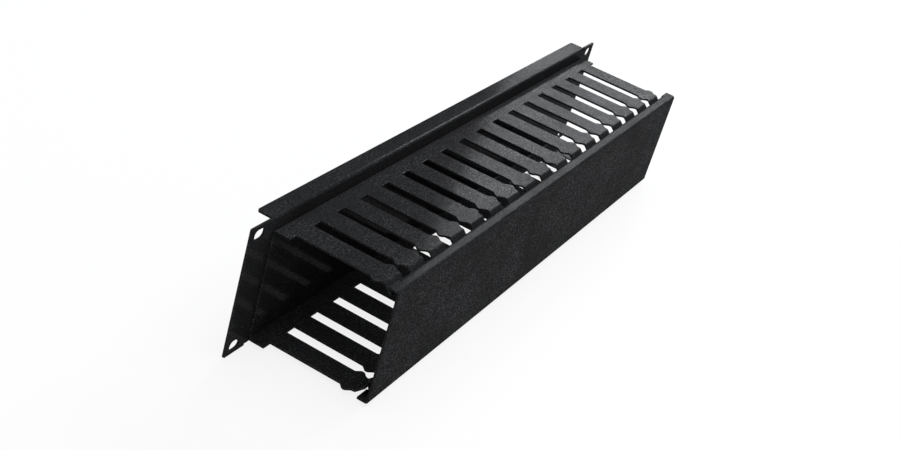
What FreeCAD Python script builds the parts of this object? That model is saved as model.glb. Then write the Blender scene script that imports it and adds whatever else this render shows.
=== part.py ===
"""Horizontal cable manager for a 19 inch rack, two units high, in folded steel sheet.

Three pieces: a rack panel with slotted ears and two stiffening flanges, a finger channel
that is spot welded to the panel's front, and a front cover that pushes on over the finger
tips. Millimetres. The origin is the centre of the panel's back face, the face that seats on
the rack's rails. +X runs along the width, +Z is up and -Y points out of the rack.
"""

import FreeCAD
import Part
import math
import os

# Rack panel
PANEL_WIDTH = 482.6          # over the ears
PANEL_HEIGHT = 88.1          # two rack units less the working gap
PANEL_SHEET = 1.5
PANEL_CORNER = 1.0           # outer corners of the ears
EAR_WIDTH = 20.9             # panel's end to the flange's end, clear of the rack's rail
FLANGE_DEPTH = 12.0          # from the panel's front face to the flange's free edge
FLANGE_BEND = 0.5            # inner radius of the flange folds
FLANGE_CORNER = 2.0          # free corners of the flanges
RELIEF_WIDTH = 1.2           # cut beside a fold, so that the sheet next to it stays flat
SLOT_FROM_END = 8.75         # centre of an ear slot to the panel's end
SLOT_FROM_EDGE = 5.95        # and to its top or bottom edge
EAR_SLOT_WIDTH = 6.8
EAR_SLOT_LENGTH = 10.0

# Finger channel
CHANNEL_SHEET = 1.5
CHANNEL_INSET = 1.15         # channel's end from the flange's end
TOP_MARGIN = 7.85            # panel's top edge to the upper finger sheet
BOTTOM_MARGIN = 3.15         # panel's bottom edge to the lower finger sheet
CHANNEL_BEND = 1.0           # inner radius of the folds beside the web
FINGER_WIDTH = 16.5
GAP_WIDTH = 9.0
LEAST_END_TAB = 6.0          # web and base strip run on at least this far past the fingers
BASE_STRIP = 12.0            # panel front to the closed ends of the gaps
FOLD_DISTANCE = 72.4         # panel front to the fold lines of the finger tips
TIP_LENGTH = 8.4             # along the slope
TIP_ANGLE = 45.0
TIP_BEND = 0.8               # inner radius of the tip folds
HEAD_SIDE = 3.15             # each head's reach past the side of its finger
HEAD_LAND = 1.9              # straight side of a head, between its two flanks
HEAD_SETBACK = 2.2           # fold line to the front flank's root
HEAD_ROUND = 2.1             # outer corners of a head
HEAD_ROOT = 2.5              # where the front flank meets the finger, round the keyhole

# Front cover
COVER_SHEET = 1.5
COVER_LIP = 7.7              # face to the lips' rear edges, outside
COVER_BEND = 0.5             # inner radius of the folds
COVER_OVER = 0.5             # lips stand this far outside the finger sheets
COVER_SLIDE = 4.7            # cover sits this far along +X of the channel's centre
LIP_SETBACK = 3.7            # tips' fold lines to the lips' rear edges
RETURN_CUTBACK = 12.0        # returns stop this far short of the cover's ends
GRIP_CLEARANCE = 0.3         # return edges to the slopes of the finger tips

# Places that follow from the sizes above
PANEL_FRONT = -PANEL_SHEET
FLANGE_LENGTH = PANEL_WIDTH - 2 * EAR_WIDTH
CHANNEL_LENGTH = FLANGE_LENGTH - 2 * CHANNEL_INSET
CHANNEL_TOP = PANEL_HEIGHT / 2 - TOP_MARGIN
CHANNEL_BOTTOM = -PANEL_HEIGHT / 2 + BOTTOM_MARGIN
PITCH = FINGER_WIDTH + GAP_WIDTH
FINGER_COUNT = int((CHANNEL_LENGTH - 2 * LEAST_END_TAB + GAP_WIDTH) / PITCH)
FINGERS_SPAN = FINGER_COUNT * PITCH - GAP_WIDTH
HEAD_FRONT = FOLD_DISTANCE - HEAD_SETBACK
HEAD_LENGTH = 2 * HEAD_SIDE + HEAD_LAND
LIP_REAR = FOLD_DISTANCE + LIP_SETBACK
OVERRUN = 5.0                # how far cutters run past the metal
TOUCHING = 1e-6              # two places nearer than this are the same place


def point(x, y, z):
    return FreeCAD.Vector(x, y, z)


def prism(points, direction):
    """Closed outline of straight lines, pushed along a vector."""
    outline = Part.makePolygon(points + [points[0]])
    return Part.Face(outline).extrude(direction)


def box_between(low, high):
    """Box from its lowest corner to its highest."""
    size = high - low
    return Part.makeBox(size.x, size.y, size.z, low)


def round_edges(shape, radius, wanted):
    """Round the straight edges whose middle point passes the test."""
    edges = [edge for edge in shape.Edges if wanted(edge)]
    return shape.makeFillet(radius, edges)


def runs_along(edge, axis):
    """Whether an edge is parallel to an axis."""
    way = edge.Vertexes[-1].Point - edge.Vertexes[0].Point
    return way.Length > 0 and abs(abs(way.normalize().dot(axis)) - 1) < TOUCHING


def folded_strip(path, sheet, bends, x_low, x_high):
    """Sheet of even thickness that follows a path of flats in the YZ plane.

    path holds the (y, z) corners of the sheet's outer surface. It turns left at every
    corner, with the metal on its left hand. bends holds each fold's inner radius.
    """
    outer = [point(x_low, y, z) for y, z in path]
    ways = [(after - before).normalize() for before, after in zip(outer, outer[1:])]
    lefts = [point(0, -way.z, way.y) for way in ways]
    inner = [outer[0] + lefts[0] * sheet]
    for corner, before, after in zip(outer[1:-1], lefts, lefts[1:]):
        middle = (before + after).normalize()
        inner.append(corner + middle * (sheet / middle.dot(before)))
    inner.append(outer[-1] + lefts[-1] * sheet)
    along = point(1, 0, 0)
    strip = prism(outer + inner[::-1], along * (x_high - x_low))
    for outer_corner, inner_corner, bend in zip(outer[1:-1], inner[1:-1], bends):
        for corner, radius in ((outer_corner, bend + sheet), (inner_corner, bend)):

            def at_corner(edge):
                offset = edge.CenterOfMass - corner
                return runs_along(edge, along) and math.hypot(offset.y, offset.z) < TOUCHING

            strip = round_edges(strip, radius, at_corner)
    return strip


def ear_slot(x, z):
    """Obround through the panel, long way across."""
    straight = (EAR_SLOT_LENGTH - EAR_SLOT_WIDTH) / 2
    radius = EAR_SLOT_WIDTH / 2
    start = point(0, PANEL_FRONT - OVERRUN, 0)
    through = point(0, PANEL_SHEET + 2 * OVERRUN, 0)
    top_left = point(x - straight, 0, z + radius) + start
    top_right = point(x + straight, 0, z + radius) + start
    bottom_right = point(x + straight, 0, z - radius) + start
    bottom_left = point(x - straight, 0, z - radius) + start
    right_end = point(x + straight + radius, 0, z) + start
    left_end = point(x - straight - radius, 0, z) + start
    outline = Part.Wire([
        Part.LineSegment(top_left, top_right).toShape(),
        Part.Arc(top_right, right_end, bottom_right).toShape(),
        Part.LineSegment(bottom_right, bottom_left).toShape(),
        Part.Arc(bottom_left, left_end, top_left).toShape(),
    ])
    return Part.Face(outline).extrude(through)


def rack_panel():
    """Flat panel with slotted ears, and a flange folded back along its top and bottom."""
    half = PANEL_HEIGHT / 2
    flange_half = FLANGE_LENGTH / 2
    rear = PANEL_FRONT + FLANGE_DEPTH
    section = [(rear, half), (PANEL_FRONT, half), (PANEL_FRONT, -half), (rear, -half)]
    bends = [FLANGE_BEND, FLANGE_BEND]
    middle = folded_strip(section, PANEL_SHEET, bends, -flange_half, flange_half)
    up = point(0, 0, 1)

    def free_corner(edge):
        return runs_along(edge, up) and edge.CenterOfMass.y > rear - TOUCHING

    middle = round_edges(middle, FLANGE_CORNER, free_corner)
    outward = point(0, 1, 0)

    def ear_corner(edge):
        return runs_along(edge, outward)

    plate = box_between(
        point(-PANEL_WIDTH / 2, PANEL_FRONT, -half), point(PANEL_WIDTH / 2, 0, half)
    )
    plate = round_edges(plate, PANEL_CORNER, ear_corner)
    reach = FLANGE_BEND + PANEL_SHEET
    field = box_between(
        point(-flange_half, PANEL_FRONT - OVERRUN, -half - OVERRUN),
        point(flange_half, OVERRUN, half + OVERRUN),
    )
    panel = plate.cut(field).fuse(middle).removeSplitter()
    cuts = []
    for side in (-1, 1):
        for end in (-1, 1):
            x_near = side * flange_half
            x_far = side * (flange_half + RELIEF_WIDTH)
            z_near = end * (half - reach)
            z_far = end * (half + OVERRUN)
            cuts.append(box_between(
                point(min(x_near, x_far), PANEL_FRONT - OVERRUN, min(z_near, z_far)),
                point(max(x_near, x_far), OVERRUN, max(z_near, z_far)),
            ))
            slot_x = side * (PANEL_WIDTH / 2 - SLOT_FROM_END)
            slot_z = end * (half - SLOT_FROM_EDGE)
            cuts.append(ear_slot(slot_x, slot_z))
    return panel.cut(cuts)


def channel_section():
    """Outer (y, z) corners of the channel, from the top tip round the web to the bottom."""
    slope = math.radians(TIP_ANGLE)
    fold = PANEL_FRONT - FOLD_DISTANCE
    tip_front = fold - TIP_LENGTH * math.cos(slope)
    tip_fall = TIP_LENGTH * math.sin(slope)
    return [
        (tip_front, CHANNEL_BOTTOM + tip_fall),
        (fold, CHANNEL_BOTTOM),
        (PANEL_FRONT, CHANNEL_BOTTOM),
        (PANEL_FRONT, CHANNEL_TOP),
        (fold, CHANNEL_TOP),
        (tip_front, CHANNEL_TOP - tip_fall),
    ]


def finger_side(x_side, way):
    """Corners of one side of a finger, from its root to past its tip.

    x_side is the finger's straight side and way is the side it faces, -1 or 1. Each corner
    is (x, distance in front of the panel, rounding radius).
    """
    rear = HEAD_FRONT - HEAD_LENGTH
    out = x_side + way * HEAD_SIDE
    return [
        (x_side, BASE_STRIP, 0),
        (x_side, rear, 0),
        (out, rear + HEAD_SIDE, HEAD_ROUND),
        (out, rear + HEAD_SIDE + HEAD_LAND, HEAD_ROUND),
        (x_side, HEAD_FRONT, HEAD_ROOT),
        (x_side, FOLD_DISTANCE + TIP_LENGTH + OVERRUN, 0),
    ]


def gap_cutter(corners):
    """Upright prism on an outline of (x, distance, radius) corners, with those corners round."""
    low = CHANNEL_BOTTOM - OVERRUN
    height = CHANNEL_TOP - CHANNEL_BOTTOM + 2 * OVERRUN
    outline = [point(x, PANEL_FRONT - distance, low) for x, distance, radius in corners]
    cutter = prism(outline, point(0, 0, height))
    for radius in sorted({radius for x, distance, radius in corners if radius > 0}):
        places = [(x, PANEL_FRONT - d) for x, d, r in corners if r == radius]

        def at_corner(edge):
            middle = edge.CenterOfMass
            near = any(math.hypot(middle.x - x, middle.y - y) < TOUCHING for x, y in places)
            return near and runs_along(edge, point(0, 0, 1))

        cutter = round_edges(cutter, radius, at_corner)
    return cutter


def finger_gaps():
    """Cutters between the fingers, the same through both sheets, and one past each end."""
    cutters = []
    for n in range(FINGER_COUNT - 1):
        left = -FINGERS_SPAN / 2 + FINGER_WIDTH + n * PITCH
        right = left + GAP_WIDTH
        cutters.append(gap_cutter(finger_side(left, 1) + finger_side(right, -1)[::-1]))
    for way in (-1, 1):
        side = finger_side(way * FINGERS_SPAN / 2, way)
        outside = way * (CHANNEL_LENGTH / 2 + OVERRUN)
        closing = [(outside, side[-1][1], 0), (outside, side[0][1], 0)]
        cutters.append(gap_cutter(side + closing))
    return cutters


def finger_channel():
    """U-shaped sheet: a web against the panel and two rows of fingers with sloping tips."""
    half = CHANNEL_LENGTH / 2
    bends = [TIP_BEND, CHANNEL_BEND, CHANNEL_BEND, TIP_BEND]
    strip = folded_strip(channel_section(), CHANNEL_SHEET, bends, -half, half)
    return strip.cut(finger_gaps())


def cover_section():
    """Outer (y, z) corners of the cover, from the upper return round the face to the lower."""
    rear = PANEL_FRONT - LIP_REAR
    front = rear - COVER_LIP
    top = CHANNEL_TOP + COVER_OVER
    bottom = CHANNEL_BOTTOM - COVER_OVER
    slope = math.radians(TIP_ANGLE)
    fall = LIP_SETBACK * math.tan(slope) - GRIP_CLEARANCE / math.cos(slope)
    return [
        (rear, CHANNEL_TOP - fall),
        (rear, top),
        (front, top),
        (front, bottom),
        (rear, bottom),
        (rear, CHANNEL_BOTTOM + fall),
    ]


def front_cover():
    """Flat face with a lip along the top and bottom, each ending in a short return.

    The returns' edges grip the slopes of the finger tips. They stop short of the cover's
    ends, where the lips stay flat to their rear edges, past a relief cut.
    """
    left = COVER_SLIDE - FLANGE_LENGTH / 2
    right = COVER_SLIDE + FLANGE_LENGTH / 2
    returns_left = left + RETURN_CUTBACK
    returns_right = right - RETURN_CUTBACK
    path = cover_section()
    folds = [COVER_BEND] * 4
    middle = folded_strip(path, COVER_SHEET, folds, returns_left, returns_right)
    ends = [
        folded_strip(path[1:-1], COVER_SHEET, folds[1:-1], left, returns_left),
        folded_strip(path[1:-1], COVER_SHEET, folds[1:-1], returns_right, right),
    ]
    rear = PANEL_FRONT - LIP_REAR
    fold = COVER_BEND + COVER_SHEET
    low = CHANNEL_BOTTOM - COVER_OVER - OVERRUN
    high = CHANNEL_TOP + COVER_OVER + OVERRUN
    reliefs = [
        box_between(point(x, rear - fold, low), point(x + RELIEF_WIDTH, rear + OVERRUN, high))
        for x in (returns_left - RELIEF_WIDTH, returns_right)
    ]
    return middle.fuse(ends).removeSplitter().cut(reliefs)


def main():
    os.makedirs("parts", exist_ok=True)
    pieces = {
        "rack_panel": rack_panel(),
        "finger_channel": finger_channel(),
        "front_cover": front_cover(),
    }
    for name, shape in pieces.items():
        solid = shape.Solids[0]
        print(name, len(shape.Solids), "solid", shape.isValid(), round(solid.Volume, 1), "mm3")
        solid.exportStep("parts/" + name + ".step")


main()
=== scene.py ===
import math

import bmesh
import bpy
import numpy as np
from bpy.props import FloatProperty, FloatVectorProperty, IntProperty, PointerProperty
from bpy.types import Operator, Panel, PropertyGroup
from mathutils import Matrix, Vector


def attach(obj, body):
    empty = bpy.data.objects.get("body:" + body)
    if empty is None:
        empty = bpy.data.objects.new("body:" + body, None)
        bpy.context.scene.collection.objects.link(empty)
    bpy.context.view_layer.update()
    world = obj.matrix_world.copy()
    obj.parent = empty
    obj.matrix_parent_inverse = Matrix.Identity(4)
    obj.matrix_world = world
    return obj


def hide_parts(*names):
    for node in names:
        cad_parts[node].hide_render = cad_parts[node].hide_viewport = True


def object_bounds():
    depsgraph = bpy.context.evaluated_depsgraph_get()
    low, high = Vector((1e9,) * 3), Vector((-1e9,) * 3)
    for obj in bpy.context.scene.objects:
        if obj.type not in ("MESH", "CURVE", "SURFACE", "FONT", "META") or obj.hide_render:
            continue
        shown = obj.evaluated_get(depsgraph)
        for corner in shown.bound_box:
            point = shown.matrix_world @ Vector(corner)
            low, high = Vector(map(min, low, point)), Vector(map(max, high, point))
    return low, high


bl_info = {
    "name": "Rack Cable Manager Dressing",
    "version": (1, 0, 0),
    "blender": (4, 5, 0),
    "location": "3D View > Sidebar > Cable Manager",
    "description": "Powder-coated finish, rounded sheet edges and studio for a horizontal cable manager",
    "category": "Object",
}

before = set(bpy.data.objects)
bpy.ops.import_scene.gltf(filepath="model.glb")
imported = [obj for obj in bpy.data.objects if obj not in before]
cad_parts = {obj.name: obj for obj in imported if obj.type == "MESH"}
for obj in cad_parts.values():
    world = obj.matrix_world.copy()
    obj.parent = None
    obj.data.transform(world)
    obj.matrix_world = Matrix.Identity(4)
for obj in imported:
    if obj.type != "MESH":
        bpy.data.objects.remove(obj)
CAD_BOX = [list(corner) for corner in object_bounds()]

# Sheet mesh
FLAT_TURN = math.radians(0.5)  # neighbouring faces that turn less than this are one flat

# Powder coat: bands of a noise's range that a quality follows, and how far it follows
FLECK_BAND = (0.52, 0.78)  # part of the fine noise that shows as pale flecks
SKIN_BAND = (0.35, 0.65)  # part of the fine noise that the skin follows
MAIN_BAND = (0.3, 0.7)  # where most of any noise lies
FEWEST_FLECKS = 0.25  # share of the flecks left where the coat is clearest
FLECK_TO_GRAIN = 0.8  # distance between flecks for each distance between grains
CLOUD_MATTNESS = 0.04  # roughness moves this far either way with the clouds
FLECK_MATTNESS = 0.05  # and this far the other way with the flecks
EDGE_MATTNESS = -0.08  # cut edges against the flats

# Studio, in metres; the lamps' places are from the object's middle
FLOOR_HALF_WIDTH = 30.0
FLOOR_LINES = 9
OVERHEAD_PLACE = Vector((0.0, -0.1, 1.5))
OVERHEAD_SIZE = (2.2, 1.6)
FAR_SIZE = (2.7, 1.4)
FRONT_PLACE = Vector((0.3, -1.8, 0.7))
FRONT_SIZE = (1.4, 1.0)
SENSOR_WIDTH = 36  # millimetres
SIGHT_LIMIT = 50.0


class CoatSettings(PropertyGroup):
    """The black powder coat on all the sheet metal."""

    colour: FloatVectorProperty(
        name="Coat colour",
        description="Colour of the cured powder, before its mottling",
        subtype="COLOR",
        size=3,
        min=0,
        max=1,
        default=(0.0132, 0.0135, 0.0143),
    )
    fleck_colour: FloatVectorProperty(
        name="Fleck colour",
        description="Colour of the paler specks in the powder",
        subtype="COLOR",
        size=3,
        min=0,
        max=1,
        default=(0.09, 0.092, 0.098),
    )
    roughness: FloatProperty(
        name="Roughness",
        description="How matt the coat is on the flats",
        subtype="FACTOR",
        min=0,
        max=1,
        default=0.52,
    )
    gloss: FloatProperty(
        name="Gloss level",
        description="Strength of the coat's reflection",
        subtype="FACTOR",
        min=0,
        max=1,
        default=0.0,
    )
    skin_weight: FloatProperty(
        name="Skin weight",
        description="Share of the surface where the powder has flowed to a smooth skin",
        subtype="FACTOR",
        min=0,
        max=1,
        default=0.05,
    )
    cover_skin: FloatProperty(
        name="Cover's skin",
        description="Skin weight on the cover, as a share of that on the other sheets",
        subtype="FACTOR",
        min=0,
        max=1,
        default=0.75,
    )
    skin_patchiness: FloatProperty(
        name="Skin patchiness",
        description="How much the skin's share rises and falls from grain to grain",
        subtype="FACTOR",
        min=0,
        max=1,
        default=0.85,
    )
    skin_unevenness: FloatProperty(
        name="Skin unevenness",
        description="How much the skin's share rises and falls over a few centimetres",
        subtype="FACTOR",
        min=0,
        max=1,
        default=0.22,
    )
    skin_roughness: FloatProperty(
        name="Skin roughness",
        description="How matt the smooth skin is",
        subtype="FACTOR",
        min=0,
        max=1,
        default=0.1,
    )
    cloud_size: FloatProperty(
        name="Cloud size",
        description="Distance between the paler clouds in the coat",
        unit="LENGTH",
        min=0.005,
        max=0.2,
        default=0.04,
    )
    peel_size: FloatProperty(
        name="Orange peel size",
        description="Distance between the crests of the coat's slow ripple",
        unit="LENGTH",
        min=0.0005,
        max=0.02,
        default=0.0035,
    )
    peel_height: FloatProperty(
        name="Orange peel height",
        description="Height of the slow ripple",
        unit="LENGTH",
        min=0,
        max=0.0005,
        default=0.00001,
    )
    grain_size: FloatProperty(
        name="Grain size",
        description="Distance between the grains of the fine texture",
        unit="LENGTH",
        min=0.0001,
        max=0.005,
        default=0.0009,
    )
    grain_height: FloatProperty(
        name="Grain height",
        description="Height of the fine texture",
        unit="LENGTH",
        min=0,
        max=0.0005,
        default=0.00006,
    )
    # Painted highlight: the cut edges' colour is made this many times paler, standing in for light
    # caught along the rounded edges
    painted_edge_highlight: FloatProperty(
        name="Edge paleness",
        description="How much paler the thin coat on the cut edges is",
        min=1,
        max=10,
        default=2.0,
    )


class EdgeSettings(PropertyGroup):
    """Rounding that punching and coating leave on the sheet's cut edges."""

    radius: FloatProperty(
        name="Edge radius",
        description="Radius of the coated cut edges",
        unit="LENGTH",
        min=0,
        max=0.0006,
        default=0.00025,
    )
    segments: IntProperty(
        name="Edge segments",
        description="Faces across each rounded edge",
        min=1,
        max=4,
        default=2,
    )
    weld: FloatProperty(
        name="Weld distance",
        description="Corners nearer than this are joined before the edges are rounded",
        unit="LENGTH",
        min=0,
        max=0.0001,
        default=0.000002,
    )
    sharp_angle: FloatProperty(
        name="Sharp angle",
        description="Edges that turn more than this are rounded",
        subtype="ANGLE",
        min=0,
        max=math.pi,
        default=math.radians(50),
    )


class CameraSettings(PropertyGroup):
    """Camera that looks along the manager from its left end, from above."""

    place: FloatVectorProperty(
        name="Camera place",
        description="Where the camera stands",
        subtype="TRANSLATION",
        unit="LENGTH",
        size=3,
        default=(-0.8313, -0.3379, 0.4432),
    )
    heading: FloatProperty(
        name="Heading",
        description="Turn of the view from straight at the front towards the right-hand end",
        subtype="ANGLE",
        default=math.radians(69.01),
    )
    tilt_down: FloatProperty(
        name="Tilt down",
        description="How far the camera looks below the horizon",
        subtype="ANGLE",
        default=math.radians(28.22),
    )
    roll: FloatProperty(
        name="Roll",
        description="Turn of the camera about its own line of sight",
        subtype="ANGLE",
        default=math.radians(16.89),
    )
    lens: FloatProperty(
        name="Lens",
        description="Focal length in millimetres on a 36 mm wide sensor",
        min=10,
        max=300,
        default=56.94,
    )


class StudioSettings(PropertyGroup):
    """Floor, surroundings and soft lamps."""

    floor_colour: FloatVectorProperty(
        name="Floor colour",
        description="Colour of the paper under the object",
        subtype="COLOR",
        size=3,
        min=0,
        max=1,
        default=(0.86, 0.86, 0.86),
    )
    floor_glow: FloatProperty(
        name="Floor glow",
        description="Share of the floor's look that stays white in shade",
        subtype="FACTOR",
        min=0,
        max=1,
        default=0.85,
    )
    sky_strength: FloatProperty(
        name="Surroundings",
        description="Brightness of the even light from all round",
        min=0,
        max=5,
        default=0.2,
    )
    key_power: FloatProperty(
        name="Overhead lamp",
        description="Power of the large soft lamp overhead",
        unit="POWER",
        min=0,
        default=20.0,
    )
    rim_power: FloatProperty(
        name="Far lamp",
        description="Power of the low lamp beyond the right-hand end",
        unit="POWER",
        min=0,
        default=198.0,
    )
    rim_colour: FloatVectorProperty(
        name="Far lamp colour",
        description="Colour of the far lamp's cool daylight",
        subtype="COLOR",
        size=3,
        min=0,
        max=1,
        default=(0.94, 0.97, 1.0),
    )
    rim_turn: FloatProperty(
        name="Far lamp turn",
        description="Way to the far lamp, from straight behind the panel towards the right-hand end",
        subtype="ANGLE",
        default=math.radians(87.5),
    )
    rim_rise: FloatProperty(
        name="Far lamp rise",
        description="Height of the far lamp as an angle from the object's middle",
        subtype="ANGLE",
        default=math.radians(27),
    )
    rim_distance: FloatProperty(
        name="Far lamp distance",
        description="Level distance from the object's middle to the far lamp",
        unit="LENGTH",
        min=1,
        default=4.0,
    )
    fill_power: FloatProperty(
        name="Front lamp",
        description="Power of the soft lamp in front of the cover",
        unit="POWER",
        min=0,
        default=5.0,
    )


def settings():
    """The scene's own settings, registered by this file."""
    return bpy.context.scene.cable_manager


class Nodes:
    """Short way to add nodes to a tree and join them."""

    def __init__(self, tree):
        self.tree = tree
        tree.nodes.clear()

    def add(self, kind, **values):
        """New node, with values set on its sockets by name, or on the node itself."""
        node = self.tree.nodes.new(kind)
        for name, value in values.items():
            label = name.replace("_", " ")
            socket = node.inputs.get(label)
            if socket is None:
                setattr(node, name, value)
            else:
                socket.default_value = value
        return node

    def join(self, output, socket):
        self.tree.links.new(output, socket)


def noise(nodes, coordinates, size, detail=2.0, rough=0.5):
    """Noise texture whose lumps are about size metres apart."""
    texture = nodes.add("ShaderNodeTexNoise", Scale=1 / size, Detail=detail, Roughness=rough)
    nodes.join(coordinates, texture.inputs["Vector"])
    return texture.outputs["Fac"]


def spread(nodes, value, band, first, last):
    """Value that runs from first to last as another value crosses a band."""
    ranged = nodes.add("ShaderNodeMapRange", To_Min=first, To_Max=last)
    ranged.inputs["From Min"].default_value, ranged.inputs["From Max"].default_value = band
    nodes.join(value, ranged.inputs["Value"])
    return ranged.outputs["Result"]


def combine(nodes, operation, one, other):
    """Sum, product or larger of two values."""
    result = nodes.add("ShaderNodeMath", operation=operation)
    nodes.join(one, result.inputs[0])
    nodes.join(other, result.inputs[1])
    return result.outputs["Value"]


def powder_coat(name, paler=1.0, rougher=0.0, skin=1.0):
    """Black textured powder coat: mottled colour with pale specks, fine grain on a slow
    ripple, and a gloss that wanders a little over the sheet."""
    coat = settings().coat
    material = bpy.data.materials.new(name)
    material.use_nodes = True
    nodes = Nodes(material.node_tree)
    output = nodes.add("ShaderNodeOutputMaterial")
    shader = nodes.add("ShaderNodeBsdfPrincipled")
    nodes.join(shader.outputs["BSDF"], output.inputs["Surface"])
    shader.inputs["Specular IOR Level"].default_value = coat.gloss
    shader.inputs["Coat Roughness"].default_value = coat.skin_roughness
    place = nodes.add("ShaderNodeTexCoord").outputs["Object"]

    cloud = noise(nodes, place, coat.cloud_size, detail=4.0, rough=0.6)
    speck = noise(nodes, place, coat.grain_size * FLECK_TO_GRAIN, detail=1.0)
    grain = noise(nodes, place, coat.grain_size, detail=3.0, rough=0.6)
    peel = noise(nodes, place, coat.peel_size, detail=1.0)

    # paler above 1 makes a painted highlight; the cut edges use it
    base = [min(1.0, part * paler) for part in coat.colour]
    fleck = [min(1.0, part * paler) for part in coat.fleck_colour]
    share = spread(nodes, speck, FLECK_BAND, 0.0, 1.0)
    mottle = spread(nodes, cloud, MAIN_BAND, FEWEST_FLECKS, 1.0)
    mix = nodes.add("ShaderNodeMix", data_type="RGBA")
    for socket, colour in ((mix.inputs[6], base), (mix.inputs[7], fleck)):
        socket.default_value = (*colour, 1)
    nodes.join(combine(nodes, "MULTIPLY", share, mottle), mix.inputs["Factor"])
    nodes.join(mix.outputs[2], shader.inputs["Base Color"])

    weight = coat.skin_weight * skin
    thin, thick = (weight * (1 + side * coat.skin_patchiness) for side in (-1, 1))
    patches = spread(nodes, speck, SKIN_BAND, thin, thick)
    uneven = coat.skin_unevenness
    clouds = spread(nodes, cloud, MAIN_BAND, 1 - uneven, 1 + uneven)
    nodes.join(combine(nodes, "MULTIPLY", patches, clouds), shader.inputs["Coat Weight"])

    matt = coat.roughness + rougher
    slow = spread(nodes, cloud, MAIN_BAND, matt - CLOUD_MATTNESS, matt + CLOUD_MATTNESS)
    quick = spread(nodes, speck, MAIN_BAND, FLECK_MATTNESS, -FLECK_MATTNESS)
    nodes.join(combine(nodes, "ADD", slow, quick), shader.inputs["Roughness"])

    ripple = nodes.add("ShaderNodeBump", Strength=1.0, Distance=coat.peel_height)
    nodes.join(peel, ripple.inputs["Height"])
    texture = nodes.add("ShaderNodeBump", Strength=1.0, Distance=coat.grain_height)
    nodes.join(grain, texture.inputs["Height"])
    nodes.join(ripple.outputs["Normal"], texture.inputs["Normal"])
    nodes.join(texture.outputs["Normal"], shader.inputs["Normal"])
    nodes.join(ripple.outputs["Normal"], shader.inputs["Coat Normal"])
    return material


def coat_materials(coating, skin):
    """A coating on the flats, and on the cut edges the same coating with a paler colour, which is a
    painted highlight, and less roughness.
    """
    flats = bpy.data.materials.get(f"{coating}_flat")
    edges = bpy.data.materials.get(f"{coating}_cut_edge")
    if flats is None:
        flats = powder_coat(f"{coating}_flat", skin=skin)
    if edges is None:
        # painted highlight: the cut edges' colour is this many times paler than the flats'
        paler = settings().coat.painted_edge_highlight
        edges = powder_coat(f"{coating}_cut_edge", paler, EDGE_MATTNESS, skin)
    return flats, edges


def soften_sheet(node, body, piece_name, coating="powder_coat", skin=1.0):
    """Folded sheet with rounded cut edges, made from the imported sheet.

    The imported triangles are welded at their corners, flat neighbours are merged into one
    face, and a rounding with the edge radius is laid along every edge sharper than the
    sharp angle. The rounding takes the cut-edge coat.
    """
    edges = settings().edges
    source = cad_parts[node]
    sheet = bmesh.new()
    sheet.from_mesh(source.data)
    bmesh.ops.remove_doubles(sheet, verts=sheet.verts, dist=edges.weld)
    bmesh.ops.dissolve_limit(
        sheet, angle_limit=FLAT_TURN, verts=sheet.verts, edges=sheet.edges
    )
    for face in sheet.faces:
        face.material_index = 0
        face.smooth = True
    mesh = bpy.data.meshes.new(piece_name)
    sheet.to_mesh(mesh)
    sheet.free()
    for material in coat_materials(coating, skin):
        mesh.materials.append(material)
    piece = bpy.data.objects.new(piece_name, mesh)
    bpy.context.scene.collection.objects.link(piece)
    bevel = piece.modifiers.new("rounded_edges", "BEVEL")
    bevel.width = edges.radius
    bevel.segments = edges.segments
    bevel.limit_method = "ANGLE"
    bevel.angle_limit = edges.sharp_angle
    bevel.material = 1
    bevel.use_clamp_overlap = True
    shading = piece.modifiers.new("flat_shading", "WEIGHTED_NORMAL")
    shading.mode = "FACE_AREA"
    shading.weight = 100
    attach(piece, body)
    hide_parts(node)
    return piece


class CABLEMANAGER_OT_rack_panel(Operator):
    """Dress the rack panel with its slotted ears and flanges"""

    bl_idname = "cable_manager.rack_panel"
    bl_label = "Rack panel"

    def execute(self, context):
        soften_sheet("rack_panel", "frame", "coated_rack_panel")
        return {"FINISHED"}


class CABLEMANAGER_OT_finger_channel(Operator):
    """Dress the channel with its two rows of fingers"""

    bl_idname = "cable_manager.finger_channel"
    bl_label = "Finger channel"

    def execute(self, context):
        soften_sheet("finger_channel", "frame", "coated_finger_channel")
        return {"FINISHED"}


class CABLEMANAGER_OT_front_cover(Operator):
    """Dress the push-on front cover"""

    bl_idname = "cable_manager.front_cover"
    bl_label = "Front cover"

    def execute(self, context):
        skin = settings().coat.cover_skin
        soften_sheet("front_cover", "cover", "coated_front_cover", "cover_coat", skin)
        return {"FINISHED"}


def floor_surface(half_width, level):
    """Flat square floor: x and y run evenly over the grid and z is the level."""
    steps = np.linspace(-half_width, half_width, FLOOR_LINES)
    x, y = np.meshgrid(steps, steps, indexing="ij")
    points = np.stack([x, y, np.full_like(x, level)], axis=-1).reshape(-1, 3)
    count = len(steps)
    corner = np.arange(count * count).reshape(count, count)
    quads = np.stack(
        [corner[:-1, :-1], corner[1:, :-1], corner[1:, 1:], corner[:-1, 1:]], axis=-1
    ).reshape(-1, 4)
    mesh = bpy.data.meshes.new("studio_floor")
    mesh.from_pydata(points.tolist(), [], quads.tolist())
    floor = bpy.data.objects.new("studio_floor", mesh)
    bpy.context.scene.collection.objects.link(floor)
    return floor


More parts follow.
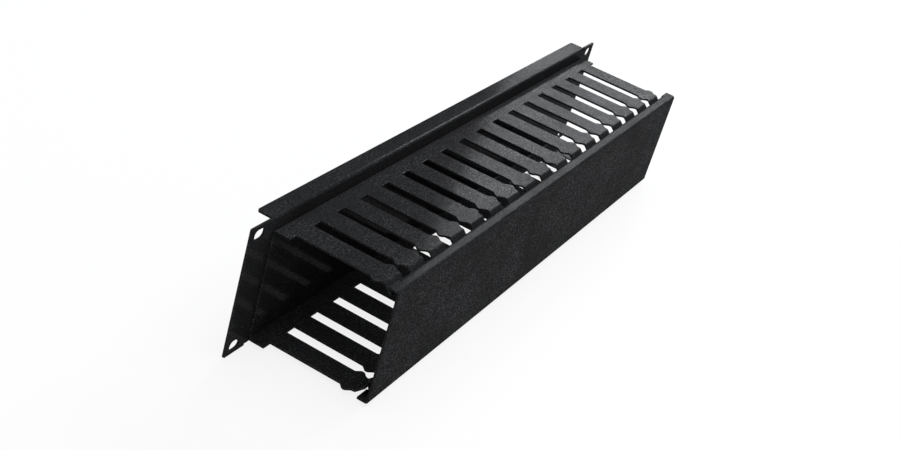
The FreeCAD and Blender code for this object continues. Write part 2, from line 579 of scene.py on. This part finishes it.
def floor_paper():
    """Pale paper that keeps a faint shadow, and stays nearly white to the eye in the shade."""
    studio = settings().studio
    material = bpy.data.materials.new("studio_paper")
    material.use_nodes = True
    nodes = Nodes(material.node_tree)
    output = nodes.add("ShaderNodeOutputMaterial")
    paper = nodes.add("ShaderNodeBsdfDiffuse")
    paper.inputs["Color"].default_value = (*studio.floor_colour, 1)
    glow = nodes.add("ShaderNodeEmission", Strength=1.0)
    rays = nodes.add("ShaderNodeLightPath")
    direct = combine(
        nodes, "MAXIMUM", rays.outputs["Is Camera Ray"], rays.outputs["Is Transmission Ray"]
    )
    seen = combine(nodes, "MAXIMUM", rays.outputs["Is Glossy Ray"], direct)
    share = nodes.add("ShaderNodeMath", operation="MULTIPLY")
    nodes.join(seen, share.inputs[0])
    share.inputs[1].default_value = studio.floor_glow
    mixed = nodes.add("ShaderNodeMixShader")
    nodes.join(share.outputs["Value"], mixed.inputs["Fac"])
    nodes.join(paper.outputs["BSDF"], mixed.inputs[1])
    nodes.join(glow.outputs["Emission"], mixed.inputs[2])
    nodes.join(mixed.outputs["Shader"], output.inputs["Surface"])
    return material


def soft_lamp(name, place, target, size, power):
    """Square area lamp that faces a point."""
    lamp = bpy.data.lights.new(name, "AREA")
    lamp.shape = "RECTANGLE"
    lamp.size, lamp.size_y = size
    lamp.energy = power
    holder = bpy.data.objects.new(name, lamp)
    way = Vector(target) - Vector(place)
    holder.matrix_world = (
        Matrix.Translation(place) @ way.to_track_quat("-Z", "Y").to_matrix().to_4x4()
    )
    bpy.context.scene.collection.objects.link(holder)
    return holder


def surroundings():
    """Even pale light from all round."""
    world = bpy.data.worlds.new("studio_surroundings")
    bpy.context.scene.world = world
    world.use_nodes = True
    nodes = Nodes(world.node_tree)
    output = nodes.add("ShaderNodeOutputWorld")
    even = nodes.add("ShaderNodeBackground", Strength=settings().studio.sky_strength)
    even.inputs["Color"].default_value = (1, 1, 1, 1)
    nodes.join(even.outputs["Background"], output.inputs["Surface"])


def camera():
    """Camera turned by a heading, a tilt and a roll.

    The level right-hand way is (cos h, -sin h, 0) for a heading h, and the line of sight is
    (sin h cos t, cos h cos t, -sin t) for a tilt t. The roll turns right and up about it.
    """
    view = settings().camera
    h, t, r = view.heading, view.tilt_down, view.roll
    sight = Vector((math.sin(h) * math.cos(t), math.cos(h) * math.cos(t), -math.sin(t)))
    level = Vector((math.cos(h), -math.sin(h), 0))
    upright = level.cross(sight)
    right = level * math.cos(r) + upright * math.sin(r)
    up = right.cross(sight)
    data = bpy.data.cameras.new("studio_camera")
    data.sensor_width = SENSOR_WIDTH
    data.lens = view.lens
    data.clip_end = SIGHT_LIMIT
    holder = bpy.data.objects.new("studio_camera", data)
    turn = Matrix((right, up, -sight)).transposed().to_4x4()
    holder.matrix_world = Matrix.Translation(view.place) @ turn
    bpy.context.scene.collection.objects.link(holder)
    bpy.context.scene.camera = holder


class CABLEMANAGER_OT_stage(Operator):
    """Set the floor, the surroundings, the lamps and the camera"""

    bl_idname = "cable_manager.stage"
    bl_label = "Studio"

    def execute(self, context):
        studio = settings().studio
        low, high = (Vector(corner) for corner in CAD_BOX)
        middle = (low + high) / 2
        floor = floor_surface(FLOOR_HALF_WIDTH, low.z)
        floor.data.materials.append(floor_paper())
        surroundings()
        turn, rise = studio.rim_turn, studio.rim_rise
        far = Vector((math.sin(turn), math.cos(turn), math.tan(rise))) * studio.rim_distance
        over, front = middle + OVERHEAD_PLACE, middle + FRONT_PLACE
        soft_lamp("overhead_lamp", over, middle, OVERHEAD_SIZE, studio.key_power)
        rim = soft_lamp("far_lamp", middle + far, middle, FAR_SIZE, studio.rim_power)
        rim.data.color = studio.rim_colour
        soft_lamp("front_lamp", front, middle, FRONT_SIZE, studio.fill_power)
        camera()
        context.scene.view_settings.view_transform = "Standard"
        return {"FINISHED"}


class CableManagerSettings(PropertyGroup):
    """Everything a user of this file would change."""

    coat: PointerProperty(type=CoatSettings)
    edges: PointerProperty(type=EdgeSettings)
    camera: PointerProperty(type=CameraSettings)
    studio: PointerProperty(type=StudioSettings)


class CABLEMANAGER_PT_sidebar(Panel):
    """Lists the pieces and their settings in the 3D view's sidebar"""

    bl_label = "Cable Manager"
    bl_space_type = "VIEW_3D"
    bl_region_type = "UI"
    bl_category = "Cable Manager"

    def draw(self, context):
        group = context.scene.cable_manager
        for part in (group.coat, group.edges, group.camera, group.studio):
            box = self.layout.box()
            for name in part.__annotations__:
                box.prop(part, name)
        for operator in OPERATORS:
            self.layout.operator(operator.bl_idname)


OPERATORS = (
    CABLEMANAGER_OT_rack_panel,
    CABLEMANAGER_OT_finger_channel,
    CABLEMANAGER_OT_front_cover,
    CABLEMANAGER_OT_stage,
)
GROUPS = (CoatSettings, EdgeSettings, CameraSettings, StudioSettings, CableManagerSettings)
CLASSES = (*GROUPS, *OPERATORS, CABLEMANAGER_PT_sidebar)


def register():
    for each in CLASSES:
        bpy.utils.register_class(each)
    bpy.types.Scene.cable_manager = PointerProperty(type=CableManagerSettings)


def unregister():
    del bpy.types.Scene.cable_manager
    for each in reversed(CLASSES):
        bpy.utils.unregister_class(each)


def main():
    register()
    bpy.ops.cable_manager.rack_panel()
    bpy.ops.cable_manager.finger_channel()
    bpy.ops.cable_manager.front_cover()
    bpy.ops.cable_manager.stage()
    bpy.context.view_layer.update()


if __name__ == "__main__":
    main()
